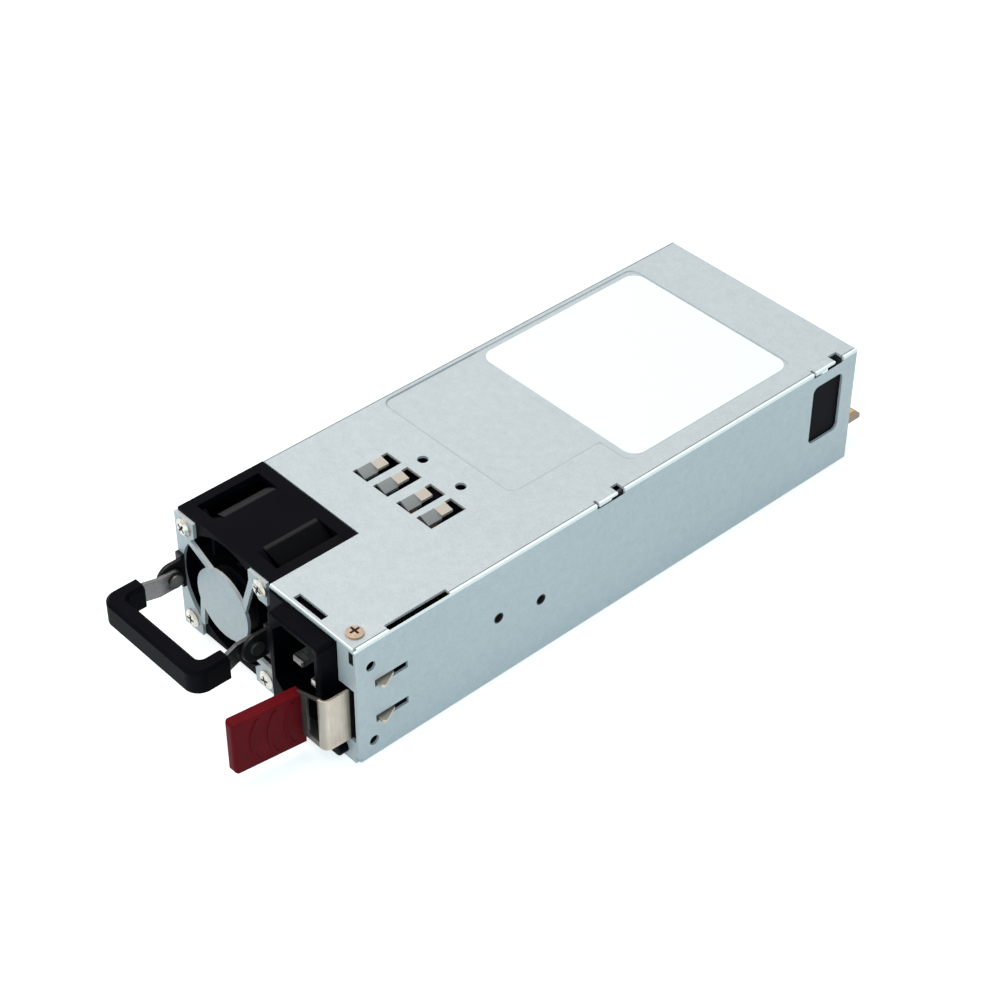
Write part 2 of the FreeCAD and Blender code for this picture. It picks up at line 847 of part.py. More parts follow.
def handle_grip():
    low, high = pivot_z - grip_tall / 2, pivot_z + grip_tall / 2
    y_front = front - handle_reach
    x0, x1 = bar_left - grip_leg / 2, bar_right + grip_leg / 2
    outer = corners_at(box(x0, x1, y_front, leg_end_y, low, high), grip_corner, y_front)
    inner_y = y_front + grip_bar
    inner = box(x0 + grip_leg, x1 - grip_leg, inner_y, leg_end_y + 1, low - 1, high + 1)
    band = outer.cut(corners_at(inner, grip_inner_corner, inner_y))
    edges = []
    for edge in band.Edges:
        flat = edge.BoundBox.ZLength < 1e-6
        if flat and abs(edge.CenterOfMass.y - leg_end_y) > 1e-6:
            edges.append(edge)
    return band.makeChamfer(grip_edge, edges).cut(strap_band())


def handle_ears():
    ears = []
    for x, side in ((leg_left, -1), (leg_right, 1)):
        inner = x + side * (strap_sheet / 2 + ear_gap)
        outer = inner + side * ear_sheet
        x0, x1 = min(inner, outer), max(inner, outer)
        r = ear_tall / 2
        web = box(x0, x1, pivot_y, front, pivot_z - r, pivot_z + r)
        nose = rod_x(x0, x1, pivot_y, pivot_z, r).common(box(x0, x1, pivot_y - r, pivot_y, 0, case_height))
        if side < 0:
            foot = box(-half + 0.15, x1, front - ear_sheet, front, pivot_z - ear_foot, pivot_z + ear_foot)
        else:
            foot = box(x0, fan_right - 0.15, front - ear_sheet, front + panel_sheet, pivot_z - ear_foot,
                       pivot_z + ear_foot)
        solid = web.fuse([nose, foot]).removeSplitter()
        solid = solid.cut(rod_x(x0 - 1, x1 + 1, pivot_y, pivot_z, pivot_radius))
        ears.append(solid)
    return ears


def handle_ear_set():
    return group(handle_ears())


def handle_pivots():
    pins = []
    for x, side in ((leg_left, -1), (leg_right, 1)):
        outer = x + side * (strap_sheet / 2 + ear_gap + ear_sheet)
        inner = x - side * (strap_sheet / 2 + ear_gap)
        x0, x1 = min(inner, outer), max(inner, outer)
        pin = rod_x(x0, x1, pivot_y, pivot_z, pivot_radius)
        for start, way in ((x0, -1), (x1, 1)):
            pin = pin.fuse(rod(start, pivot_y, pivot_z, pivot_head_radius, pivot_head, V(way, 0, 0)))
        pins.append(pin.removeSplitter())
    return group(pins)


# Latch
flex_y = front + leaf_end


def rivet_places():
    return [(front + 47.6, 21.6), (front + 62.6, 18.9)]


def latch_root():
    x1 = inside
    x0 = inside - leaf_sheet
    y0 = flex_y + root_gap
    middle = (leaf_high + leaf_back_low) / 2
    solid = soft_box(x0, x1, y0, y0 + root_length, middle - root_tall / 2, middle + root_tall / 2,
                     1.5, V(1, 0, 0))
    return solid.cut([rod_x(x0 - 1, x1 + 1, y, z, rivet_hole + rivet_wall) for y, z in rivet_places()])


def latch_rivets():
    solids = []
    for y, z in rivet_places():
        x0 = inside - leaf_sheet - rivet_rise
        tube = rod_x(x0, half, y, z, rivet_hole + rivet_wall)
        inner_head = rod_x(x0, inside - leaf_sheet, y, z, rivet_flare)
        bore = rod_x(x0 + 0.6, half + 1, y, z, rivet_hole)
        solids.append(tube.fuse(inner_head).removeSplitter().cut(bore))
    return group(solids)


def leaf_line():
    back_x = inside - leaf_wall_gap - leaf_sheet / 2
    web_y = front - web_reach + leaf_sheet / 2
    return [(back_x, flex_y), (leaf_front_x, front + 0.5), (leaf_front_x - 0.3, web_y), (web_left, web_y)]


def offset_line(points, distance):
    out = []
    count = len(points)
    for i in range(count):
        x, y = points[i]
        normals = []
        for j in (i - 1, i):
            if 0 <= j < count - 1:
                dx, dy = points[j + 1][0] - points[j][0], points[j + 1][1] - points[j][1]
                size = math.hypot(dx, dy)
                normals.append((-dy / size, dx / size))
        nx = sum(n[0] for n in normals)
        ny = sum(n[1] for n in normals)
        size = math.hypot(nx, ny)
        nx, ny = nx / size, ny / size
        scale = distance / (nx * normals[0][0] + ny * normals[0][1])
        out.append((x + nx * scale, y + ny * scale))
    return out


def web_top(x):
    bend = leaf_front_x - web_bend
    return leaf_high - web_top_drop * (bend - x) / (bend - web_left)


def latch_leaf():
    line = leaf_line()
    one = offset_line(line, leaf_sheet / 2)
    two = offset_line(line, -leaf_sheet / 2)
    points = [V(x, y, leaf_low) for x, y in one + two[::-1]]
    strip = plate(points, V(0, 0, leaf_high - leaf_low))
    bends = []
    for e in strip.Edges:
        upright = abs(e.tangentAt(e.FirstParameter).z) > 0.999
        near = e.CenterOfMass.y < front - web_reach + 2 and e.CenterOfMass.x > window_right
        if upright and near:
            bends.append(e)
    outer = max(bends, key=lambda e: e.CenterOfMass.x)
    inner = min(bends, key=lambda e: e.CenterOfMass.x)
    strip = strip.makeFillet(web_bend, [outer])
    for e in strip.Edges:
        if e.Curve.TypeId == "Part::GeomLine" and (e.CenterOfMass - inner.CenterOfMass).Length < 1e-4:
            strip = strip.makeFillet(max(web_bend - leaf_sheet, 0.3), [e])
            break
    teeth = []
    back_x = inside - leaf_wall_gap - leaf_sheet / 2
    slope = (back_x - leaf_front_x) / (leaf_end - 0.5)
    for z in (leaf_high, lower_tooth):
        y0 = front + tooth_front
        y1 = y0 + tooth_length
        tip = half + tooth_reach
        x0 = leaf_front_x + slope * (tooth_front - 0.5)
        x1 = leaf_front_x + slope * (tooth_front + tooth_length + 2)
        low = z - tooth_thick / 2
        outline = [V(x0, y0, low), V(tip - 0.6, y0, low), V(tip, y0 + 0.6, low), V(tip, y0 + 1.2, low),
                   V(half - 0.1, y1, low), V(x1, y1 + 1.5, low)]
        teeth.append(plate(outline, V(0, 0, tooth_thick)))
    solid = strip.fuse(teeth).removeSplitter()
    cuts = [box(passage_left, half - 0.9, front + leaf_step, flex_y + 1, 0, leaf_back_low)]
    y0, along = front - web_reach - 3, V(0, 6, 0)
    bend = leaf_front_x - web_bend
    past = web_left - 1
    cuts.append(plate([V(bend, y0, web_top(bend)), V(past, y0, web_top(past)), V(past, y0, leaf_high + 2),
                       V(bend, y0, leaf_high + 2)], along))
    low = leaf_low + web_window_edge
    opening = plate([V(window_left, y0, low), V(window_right, y0, low),
                     V(window_right, y0, web_top(window_right) - web_window_head),
                     V(window_left, y0, web_top(window_left) - web_window_head)], along)
    cuts.append(rounded(opening, 0.5, V(0, 1, 0)))
    return solid.cut(cuts)


tab_back_y = front - web_reach + leaf_sheet + 0.2
tab_run = tab_back_y - (front - tab_reach)
tab_face_x = half - tab_face_room


def tab_outline(low, high):
    y0 = tab_back_y
    y1 = front - tab_reach
    x0 = tab_face_x
    x1 = x0 - tab_slant
    points = [V(x0, y0, low), V(x1, y1, low), V(x1 - tab_sheet, y1, low), V(x0 - tab_sheet, y0, low)]
    return plate(points, V(0, 0, high - low))


def release_tab():
    solid = tab_outline(tab_low, tab_low + tab_tall)
    edges = []
    for e in solid.Edges:
        c = e.CenterOfMass
        if abs(c.y - (front - tab_reach)) < 1e-6:
            edges.append(e)
    solid = solid.makeFillet(tab_round, edges)
    turn = math.degrees(math.atan2(tab_slant, tab_run))
    ridges = []
    for k in range(3):
        out = ridge_first + ridge_pitch * k
        tall = Part.makeCylinder(ridge_radius, ridge_rise + 0.3, V(0, 0, 0), V(1, 0, 0))
        ring = tall.cut(Part.makeCylinder(ridge_radius - ridge_wide, 2, V(-1, 0, 0), V(1, 0, 0)))
        ring = ring.common(box(-1, 2, -2 * ridge_radius, 0, -ridge_half, ridge_half))
        ring.translate(V(-0.3, ridge_radius - tab_run + out, 0))
        ring.rotate(V(0, 0, 0), V(0, 0, 1), -turn)
        ridges.append(set_at(ring, tab_face_x, tab_back_y, tab_low + tab_tall / 2))
    solid = join(solid, ridges)
    x0 = web_left - 0.01
    y = front - web_reach
    web = box(x0, tab_face_x + 1, y, y + leaf_sheet, leaf_low, leaf_high)
    return solid.cut(web)


# Board and what stands on it
def main_board():
    body = box(-board_side, board_side, board_front, rear - panel_sheet - 0.3, board_bottom, board_top)
    edge = box(-edge_width / 2, edge_width / 2, board_front + 20, rear + edge_reach, board_bottom, board_top)
    board = join(body, [edge])
    cuts = []
    for x, y in standoff_places():
        cuts.append(rod_z(x, y, board_bottom - 1, board_top + 1, screw_radius + 0.1))
    cuts.append(box(key_x() - key_width / 2, key_x() + key_width / 2, rear + 1, rear + edge_reach + 1,
                    board_bottom - 1, board_top + 1))
    return board.cut(cuts)


def key_x():
    return edge_width / 2 - key_places * finger_pitch


def contact_fingers():
    strips = []
    count = int((edge_width - 2.4) / finger_pitch)
    start = -(count - 1) * finger_pitch / 2
    y1 = rear + edge_reach - 0.6
    for i in range(count):
        x = start + i * finger_pitch
        if abs(x - key_x()) < finger_pitch * 0.75:
            continue
        for z0 in (board_top, board_bottom - finger_sheet):
            strips.append(box(x - finger_width / 2, x + finger_width / 2, y1 - finger_length, y1,
                              z0, z0 + finger_sheet))
    return group(strips)


def standoff_places():
    x = inside - standoff_inset
    y0 = board_front + standoff_radius + 1.5
    y1 = rear - control_room - standoff_radius - 1.0
    return [(-x, y0), (x, middle_screw_y), (-x, y1), (x, y1)]


def board_standoffs():
    pillars = []
    for x, y in standoff_places():
        pillar = set_at(hexagon(standoff_radius, board_bottom - case_sheet), x, y, case_sheet)
        pillars.append(pillar.cut(rod_z(x, y, case_sheet - 1, board_bottom + 1, screw_radius)))
    return group(pillars)


def board_screws():
    screws = []
    for x, y in standoff_places():
        screw = pan_screw(board_screw_length, False, screw_head_radius)
        screws.append(set_at(screw, x, y, board_top))
    return group(screws)


def insulation_sheet():
    side = board_side - 0.2
    y0 = fan_back + 4
    sheet = box(-side, side, y0, rear - panel_sheet - 1, case_sheet, case_sheet + sheet_under_board)
    room = standoff_radius + 0.4
    return sheet.cut([box(x - room, x + room, y - room, y + room, 0, 3) for x, y in standoff_places()])


def side_insulator():
    y0 = window_front - 6
    y1 = rear - panel_sheet - 1.5
    return box(inside - insulator_sheet, inside, y0, y1, board_top + 0.5, window_high + 1.5)


bay_left = -board_side + bay_edge
bay_right = board_side - bay_edge
bay_width = (bay_right - bay_left - 2 * row_gap) / 3
bays = [bay_left + k * (bay_width + row_gap) for k in range(3)]
row_one = board_front + first_row
row_two = row_one + choke_deep + row_gap
row_three = rear - output_room
row_two_end = row_three - 2 * row_gap
middle_screw_y = (row_two + row_two_end) / 2
sink_height = roof - sink_top_room - board_top


def wound_choke(bay):
    x0, x1 = bay + choke_inset, bay + bay_width - choke_inset
    body = box(x0, x1, row_one, row_one + choke_deep, board_top, board_top + choke_height)
    middle = (x0 + x1) / 2
    hole = choke_hole / 2
    centre = board_top + choke_height / 2
    eye = box(middle - hole, middle + hole, row_one - 1, row_one + choke_deep + 1, centre - hole, centre + hole)
    return body.cut(eye)


def factor_choke():
    return wound_choke(bays[0])


def filter_choke():
    return wound_choke(bays[1])


def filter_capacitor():
    return box(bays[2] + film_inset, bay_right - film_inset, row_one, row_one + choke_deep - 2, board_top,
               board_top + film_height)


def bulk_capacitors():
    room = bays[2] - transistor_wide - 1.0 - bay_left
    radius = (room - can_gap) / 4
    cans = []
    for k in (1, 3):
        x = bay_left + k * radius + (can_gap if k == 3 else 0)
        cans.append(rod_y(x, row_two, row_two_end, board_top + radius, radius))
    return group(cans)


def heat_sink(x0, x1, y0, y1, way):
    sink = box(x0, x1, y0, y1, board_top, board_top + sink_height)
    pitch = (y1 - y0) / sink_fins
    cuts = []
    for i in range(sink_fins):
        y = y0 + pitch * (i + 0.5)
        a, b = (x0 + sink_web, x1 + 1) if way > 0 else (x0 - 1, x1 - sink_web)
        cuts.append(box(a, b, y - pitch * 0.3, y + pitch * 0.3, board_top + 2, board_top + sink_height + 1))
    return sink.cut(cuts)


def primary_heat_sink():
    return heat_sink(bays[2], bays[2] + sink_wide, row_two, row_two_end, 1)


def output_sink_ends():
    return row_three + core_length / 2, rear - output_sink_room


def secondary_heat_sink():
    y0, y1 = output_sink_ends()
    return heat_sink(bay_left, bay_left + sink_wide, y0, y1, -1)


def power_transistors():
    packs = []
    low, high = board_top, board_top + transistor_tall
    y0, y1 = output_sink_ends()
    for x, start, end, count in ((bays[2] - transistor_wide, row_two, row_two_end, 3),
                                 (bay_left + sink_wide, y0, y1, 2)):
        pitch = (end - start) / count
        for i in range(count):
            y = start + pitch * (i + 0.5) - transistor_long / 2
            packs.append(box(x, x + transistor_wide, y, y + transistor_long, low, high))
    return group(packs)


def fuse_body():
    x = (bays[2] + sink_wide + bay_right) / 2
    z = board_top + fuse_radius + fuse_cap
    y0, y1 = row_two, middle_screw_y - screw_head_radius - 1.0
    cap = fuse_radius + fuse_cap
    ends = [rod_y(x, y0, y0 + fuse_radius, z, cap), rod_y(x, y1 - fuse_radius, y1, z, cap)]
    return rod_y(x, y0, y1, z, fuse_radius).fuse(ends).removeSplitter()


def relay():
    x = (bays[2] + sink_wide + bay_right) / 2
    return box(x - relay_width / 2, x + relay_width / 2, middle_screw_y + screw_head_radius + 1.0,
               row_three - row_gap, board_top, board_top + relay_height)


core_left = bays[2] - core_overhang
core_right = bay_right - 2.0
core_top = roof - core_top_room
coil_half = (core_right - core_left) / 2 - core_wall - coil_gap


def upright(half_size, z0, z1):
    x = (core_left + core_right) / 2
    y = row_three + core_length / 2
    return box(x - half_size, x + half_size, y - half_size, y + half_size, z0, z1)


def transformer_core():
    block = box(core_left, core_right, row_three, row_three + core_length, board_top, core_top)
    hollow = box(core_left + core_wall, core_right - core_wall, row_three - 1, row_three + core_length + 1,
                 board_top + core_wall, core_top - core_wall)
    leg = upright(coil_half - coil_wall, board_top + core_wall, core_top - core_wall)
    return join(block.cut(hollow), [leg])


def transformer_winding():
    z0, z1 = board_top + core_wall, core_top - core_wall
    return upright(coil_half, z0, z1).cut(upright(coil_half - coil_wall, z0 - 1, z1 + 1))


def output_capacitors():
    x = (bay_left + sink_wide + transistor_wide + core_left) / 2
    y = output_sink_ends()[0] + small_can_radius
    cans = []
    for dx in (-0.5, 0.5):
        for k in (0, 1):
            cans.append(rod_z(x + dx * small_can_pitch, y + k * small_can_pitch, board_top,
                              board_top + small_can_height, small_can_radius))
    return group(cans)


def output_busbar():
    x0 = bay_left + sink_wide + transistor_wide + row_gap
    x1 = bay_right - standoff_inset - screw_head_radius
    y0 = row_three + core_length + bar_gap
    low = box(x0, x1, y0, rear - control_room - 2.0, board_top, board_top + bar_sheet)
    fin = box(x0, x1, y0, y0 + bar_sheet, board_top, board_top + bar_tall)
    return join(low, [fin])


def control_board():
    y = rear - control_room
    return box(bay_left, bay_right - row_gap, y, y + control_sheet, board_top, roof - control_top_room)


parts = {
    "base_chassis": base_chassis,
    "top_cover": top_cover,
    "rating_label": rating_label,
    "cover_screw": cover_screw,
    "front_panel": front_panel,
    "rear_panel": rear_panel,
    "fan_frame": fan_frame,
    "fan_impeller": fan_impeller,
    "fan_magnet": fan_magnet,
    "fan_shaft": fan_shaft,
    "fan_bearings": fan_bearings,
    "fan_stator": fan_stator,
    "fan_screws": fan_screws,
    "inlet_housing": inlet_housing,
    "inlet_blades": inlet_blades,
    "inlet_earth_blade": inlet_earth_blade,
    "status_light": status_light,
    "handle_strap": handle_strap,
    "handle_grip": handle_grip,
    "handle_ears": handle_ear_set,
    "handle_pivots": handle_pivots,
    "latch_root": latch_root,
    "latch_rivets": latch_rivets,
    "latch_leaf": latch_leaf,
    "release_tab": release_tab,
    "main_board": main_board,
    "contact_fingers": contact_fingers,
    "board_standoffs": board_standoffs,
    "board_screws": board_screws,
    "insulation_sheet": insulation_sheet,
    "side_insulator": side_insulator,
    "bulk_capacitors": bulk_capacitors,
    "transformer_core": transformer_core,
    "transformer_winding": transformer_winding,
    "factor_choke": factor_choke,
    "filter_choke": filter_choke,
    "filter_capacitor": filter_capacitor,
    "primary_heat_sink": primary_heat_sink,
    "secondary_heat_sink": secondary_heat_sink,
    "power_transistors": power_transistors,
    "output_capacitors": output_capacitors,
    "output_busbar": output_busbar,
    "relay": relay,
    "fuse_body": fuse_body,
    "control_board": control_board,
}

os.makedirs("parts", exist_ok=True)
for name, make in parts.items():
    shape = make()
    shape.exportStep("parts/" + name + ".step")
    print(name, len(shape.Solids), round(shape.Volume, 1), shape.isValid())
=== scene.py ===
import json
import math

import bpy
from mathutils import Matrix, Vector

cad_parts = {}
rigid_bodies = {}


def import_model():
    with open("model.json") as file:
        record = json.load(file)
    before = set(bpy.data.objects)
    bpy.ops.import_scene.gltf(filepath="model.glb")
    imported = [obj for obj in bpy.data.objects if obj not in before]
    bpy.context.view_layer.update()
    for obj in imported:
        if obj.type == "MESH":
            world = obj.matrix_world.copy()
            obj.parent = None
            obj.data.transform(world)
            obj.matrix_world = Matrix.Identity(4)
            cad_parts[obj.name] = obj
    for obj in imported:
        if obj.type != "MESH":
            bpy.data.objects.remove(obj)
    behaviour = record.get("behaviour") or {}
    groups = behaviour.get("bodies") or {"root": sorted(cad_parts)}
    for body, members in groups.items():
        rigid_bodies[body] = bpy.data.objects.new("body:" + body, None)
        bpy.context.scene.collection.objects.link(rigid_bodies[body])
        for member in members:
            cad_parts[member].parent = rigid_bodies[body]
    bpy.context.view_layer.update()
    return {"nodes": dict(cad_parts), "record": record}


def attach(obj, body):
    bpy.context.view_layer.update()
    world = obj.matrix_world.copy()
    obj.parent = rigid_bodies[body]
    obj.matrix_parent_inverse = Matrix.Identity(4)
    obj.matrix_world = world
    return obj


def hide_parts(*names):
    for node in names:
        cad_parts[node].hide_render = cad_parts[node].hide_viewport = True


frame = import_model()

# Hot swap server power supply, dressed for looks. Metres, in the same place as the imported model.

nodes = frame["nodes"]
body_of_node = {}
for body, members in frame["record"]["behaviour"]["bodies"].items():
    for member in members:
        body_of_node[member] = body
slot_of_node = {part["node"]: part["material_slot"] for part in frame["record"]["subparts"]}
mm = 0.001

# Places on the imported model, in millimetres
wall_half = 36.0
wall_split = 36.05
panel_back = 91.45
cover_under = 39.15
cover_top = 40.0
recess = (-34.6, 29.4, 9.0, 73.3)
recess_neck = (-34.6, 18.0, -23.4, 73.3)
recess_corner = 3.0
painted_recess_shade_end = 11.5
panel_slot = (34.2, 36.05, 34.3, 38.45)
vent_front, vent_rear, vent_reach, vent_low = -49.2, -35.9, 18.0, 37.2
louvre_step = -42.5
# Two rivet holes whose insides are filled with painted shade
shaded_rivet_holes = ((19.95, 23.25, -46.55, -43.25), (17.25, 20.55, -31.55, -28.25))
shaded_rivet_hole_radius = 1.65
board_bare_from = 93.2
fan_x, fan_z = -16.5, 20.0
waist_front, waist_rear, waist_radius = -85.3, -67.5, 21.5
rail_front, rail_rear, rail_chamfer = -87.6, -67.4, 0.9
rail_across = ((-36.45, -33.15), (0.15, 3.45))
rail_up = ((0.05, 3.35), (36.65, 39.95))
side_across = ((-36.45, -35.5), (2.5, 3.45))
light_x, light_z, light_radius = 28.85, 3.35, 2.0
light_front, light_rear, light_stretch = -95.1, -87.0, 1.75
tongues = (("middle_tongue_end", -4.85, -2.4), ("rear_tongue_end", 79.65, 83.4))
tongue_across = (33.45, 36.6)
tongue_up = (39.2, 40.0)


# Surfaces
class Reading:
    """What one node gives: a number, colour or direction that varies over the surface."""

    def __init__(self, owner, socket):
        self.owner = owner
        self.socket = socket

    def math(self, operation, first, second=0.0):
        return self.owner.node("ShaderNodeMath", {"operation": operation}, {0: first, 1: second})

    def __add__(self, other):
        return self.math("ADD", self, other)

    __radd__ = __add__

    def __sub__(self, other):
        return self.math("SUBTRACT", self, other)

    def __rsub__(self, other):
        return self.math("SUBTRACT", other, self)

    def __mul__(self, other):
        return self.math("MULTIPLY", self, other)

    __rmul__ = __mul__

    def most(self, other):
        return self.math("MAXIMUM", self, other)

    def least(self, other):
        return self.math("MINIMUM", self, other)

    def size(self):
        return self.math("ABSOLUTE", self)

    def over(self, limit, soft):
        """1 where the reading is above the limit, 0 below it."""
        values = {"Value": self, "From Min": limit - soft, "From Max": limit + soft}
        return self.owner.node("ShaderNodeMapRange", {"clamp": True}, values)

    def under(self, limit, soft):
        """1 where the reading is below the limit, 0 above it."""
        return (0 - self).over(-limit, soft)

    def between(self, low, high, soft):
        return self.over(low, soft) * self.under(high, soft)


class Tree:
    """A node tree that is written as calls."""

    def __init__(self, tree):
        self.tree = tree
        self.tree.nodes.clear()

    def node(self, kind, settings=None, values=None, outlet=0):
        made = self.tree.nodes.new(kind)
        for key, value in (settings or {}).items():
            if key == "stops":
                self.set_stops(made.color_ramp, value)
            else:
                setattr(made, key, value)
        for key, value in (values or {}).items():
            if isinstance(value, Reading):
                self.tree.links.new(value.socket, made.inputs[key])
            else:
                made.inputs[key].default_value = value
        return Reading(self, made.outputs[outlet])

    def set_stops(self, ramp, stops):
        while len(ramp.elements) < len(stops):
            ramp.elements.new(0.5)
        for element, (place, colour) in zip(ramp.elements, stops):
            element.position = place
            element.color = colour

    def blend(self, factor, first, second):
        return self.node("ShaderNodeMix", {"data_type": "RGBA"}, {0: factor, 6: first, 7: second}, outlet=2)

    def seen(self):
        """1 for rays from the camera, from mirrors and through glass, 0 for rays that carry light."""
        seen = self.node("ShaderNodeLightPath", outlet="Is Camera Ray")
        for ray in ("Is Glossy Ray", "Is Transmission Ray"):
            seen = seen.most(self.node("ShaderNodeLightPath", outlet=ray))
        return seen

    def end(self, kind, shader):
        out = self.tree.nodes.new(kind)
        self.tree.links.new(shader.socket, out.inputs["Surface"])


class Surface(Tree):
    """A material whose shader is built from nodes."""

    def __init__(self, name):
        self.material = bpy.data.materials.new(name)
        self.material.use_nodes = True
        super().__init__(self.material.node_tree)

    def axes(self):
        """Object coordinates in millimetres: across, along and up."""
        spot = self.node("ShaderNodeTexCoord", outlet="Object")
        return [1000 * self.node("ShaderNodeSeparateXYZ", {}, {"Vector": spot}, outlet=axis) for axis in range(3)]

    def noise(self, size, scale=(1, 1, 1), detail=3.0, rough=0.5):
        """Smooth random values near 0.5, in patches about size millimetres across."""
        spot = self.node("ShaderNodeTexCoord", outlet="Object")
        place = self.node("ShaderNodeMapping", {}, {"Vector": spot, "Scale": scale})
        values = {"Vector": place, "Scale": 1.0 / (size * mm), "Detail": detail, "Roughness": rough}
        return self.node("ShaderNodeTexNoise", {}, values)

    def grade(self, reading, stops):
        return self.node("ShaderNodeValToRGB", {"stops": stops}, {"Fac": reading})

    def bump(self, height, strength, depth=0.03 * mm):
        return self.node("ShaderNodeBump", {}, {"Height": height, "Strength": strength, "Distance": depth})

    def finish(self, **sockets):
        values = {key.replace("_", " "): value for key, value in sockets.items()}
        self.end("ShaderNodeOutputMaterial", self.node("ShaderNodeBsdfPrincipled", {}, values))
        return self.material


def tone(r, g, b):
    return (r, g, b, 1.0)


def grey(value):
    return tone(value, value, value)


def box_edge(across, along, x0, x1, y0, y1, corner):
    """Distance in millimetres from the edge of a rounded rectangle, below zero inside it."""
    ways = []
    for reading, low, high in ((across, x0, x1), (along, y0, y1)):
        off = (reading - (low + high) / 2).size()
        ways.append(off - ((high - low) / 2 - corner))
    outside = [way.most(0.0) for way in ways]
    reach = across.math("SQRT", outside[0] * outside[0] + outside[1] * outside[1])
    inside = ways[0].most(ways[1])
    return reach + inside.least(0.0) - corner


def painted_fold_highlight(side, along, up):
    """Painted highlight on the folded edges: the walls' tops and the cover's nose."""
    wall_top = side.over(wall_split, 0.03) * up.over(39.0, 0.05)
    cover_nose = along.under(-92.1, 0.05) * up.over(39.3, 0.05)
    return wall_top.most(cover_nose)


def painted_inner_shade(across, side, along, up):
    """Painted shade on the inner faces of the case and in the narrow slot in the front panel."""
    within = side.under(wall_half, 0.02) * up.under(cover_under, 0.02) * up.over(0.75, 0.02)
    within = within * along.between(-panel_back, panel_back, 0.02)
    slot = box_edge(across, up, *panel_slot, 0.05).under(0, 0.02) * along.over(-92.45, 0.02)
    return within.most(slot * along.under(-91.3, 0.02))


def painted_recess_shade(across, along, up):
    """A fine painted shade line along the recess of the cover, in front of the label."""
    end = box_edge(across, along, *recess, recess_corner)
    neck = box_edge(across, along, *recess_neck, recess_corner)
    line = end.least(neck).size().under(0.3, 0.12) * up.over(39.5, 0.02)
    return line * along.under(painted_recess_shade_end, 0.4)


def vent_louvres(side, along, up):
    level = up.under(39.95, 0.01) * up.over(vent_low, 0.05)
    return along.between(vent_front, vent_rear, 0.05) * side.under(vent_reach, 0.05) * level


def galvanised():
    s = Surface("galvanised_sheet")
    grain = s.noise(0.55, rough=0.65)
    mottle = s.noise(2.6, detail=2.0)
    cloud = s.noise(24, detail=2.0)
    mix = grain * 0.6 + mottle * 0.28 + cloud * 0.12
    colour = s.grade(mix, [(0.34, tone(0.503, 0.54, 0.573)), (0.5, tone(0.56, 0.597, 0.628)),
                           (0.66, tone(0.615, 0.647, 0.675))])
    across, along, up = s.axes()
    side = across.size()
    # Painted highlight along the walls' tops and the cover's nose.
    colour = s.blend(painted_fold_highlight(side, along, up), colour, tone(0.97, 0.985, 0.99))
    # Painted shade on the case's inner faces and in the front panel's slot.
    colour = s.blend(painted_inner_shade(across, side, along, up), colour, tone(0.045, 0.05, 0.053))
    # Painted shade line along the edge of the recess.
    colour = s.blend(painted_recess_shade(across, along, up) * 0.45, colour, tone(0.30, 0.33, 0.35))
    # Painted light on the vent louvres: grey painted shade on the front half, a warm painted reflection on the rear
    # half.
    louvre = s.blend(along.over(louvre_step, 0.05), tone(0.24, 0.25, 0.26), tone(0.56, 0.49, 0.42))
    colour = s.blend(vent_louvres(side, along, up), colour, louvre)
    # Painted shade in two rivet holes on the walls.
    first, second = [box_edge(up, along, *rivet, shaded_rivet_hole_radius) for rivet in shaded_rivet_holes]
    colour = s.blend(first.least(second).under(-0.02, 0.02), colour, grey(0.006))
    return s.finish(Base_Color=colour, Metallic=0.16, Roughness=0.42 + 0.12 * grain,
                    Normal=s.bump(grain * 0.8 + mottle * 0.2, 0.1))


def tan_steel():
    """The latch's spring steel, with painted shade: greyish at its bend, dark in the web beside the tab and behind the
    wall.
    """
    s = Surface("tan_spring_steel")
    brushed = s.noise(0.5, scale=(1, 1, 0.08))
    cloud = s.noise(7, detail=2.0)
    colour = s.grade(brushed * 0.5 + cloud * 0.5,
                     [(0.3, tone(0.44, 0.368, 0.305)), (0.5, tone(0.57, 0.482, 0.412)),
                      (0.72, tone(0.68, 0.588, 0.512))])
    across, along, up = s.axes()
    in_front = along.under(-99, 0.3)
    # Painted shade: greyish over the bend.
    bend = across.over(31.7, 0.4) * across.under(33.2, 0.3) * in_front
    colour = s.blend(bend * 0.75, colour, tone(0.34, 0.33, 0.28))
    # Painted shade: dark over the web beside the tab.
    web = across.under(31.1, 0.3) * in_front
    colour = s.blend(web * 0.9, colour, tone(0.075, 0.078, 0.08))
    # Painted shade behind the wall.
    behind_wall = along.over(-92.6, 0.2) * across.under(35.9, 0.05)
    colour = s.blend(behind_wall, colour, grey(0.02))
    return s.finish(Base_Color=colour, Metallic=0.75, Roughness=0.34 + 0.16 * brushed, Normal=s.bump(brushed, 0.12))


def screw_steel():
    """Zinc screws: tan on the cover, dark on the handle's pivots, and painted shade in the bottoms of the crosses."""
    s = Surface("zinc_screw")
    cloud = s.noise(1.6)
    colour = s.grade(cloud, [(0.3, tone(0.52, 0.46, 0.38)), (0.55, tone(0.74, 0.71, 0.66)),
                             (0.75, tone(0.86, 0.85, 0.83))])
    across, along, up = s.axes()
    on_cover = up.over(39.0, 0.1) * across.over(28.0, 0.1)
    colour = s.blend(on_cover * 0.8, colour, tone(0.60, 0.40, 0.27))
    colour = s.blend(along.under(-94.6, 0.1) * 0.8, colour, tone(0.10, 0.10, 0.105))
    # Painted shade in the bottoms of the crosses.
    cover_cross_shade = on_cover * up.between(39.98, 40.12, 0.02)
    front_cross_shade = along.between(-92.95, -92.86, 0.01)
    colour = s.blend(cover_cross_shade.most(front_cross_shade), colour, tone(0.05, 0.022, 0.02))
    return s.finish(Base_Color=colour, Metallic=0.85, Roughness=0.24 + 0.14 * cloud, Normal=s.bump(cloud, 0.1))


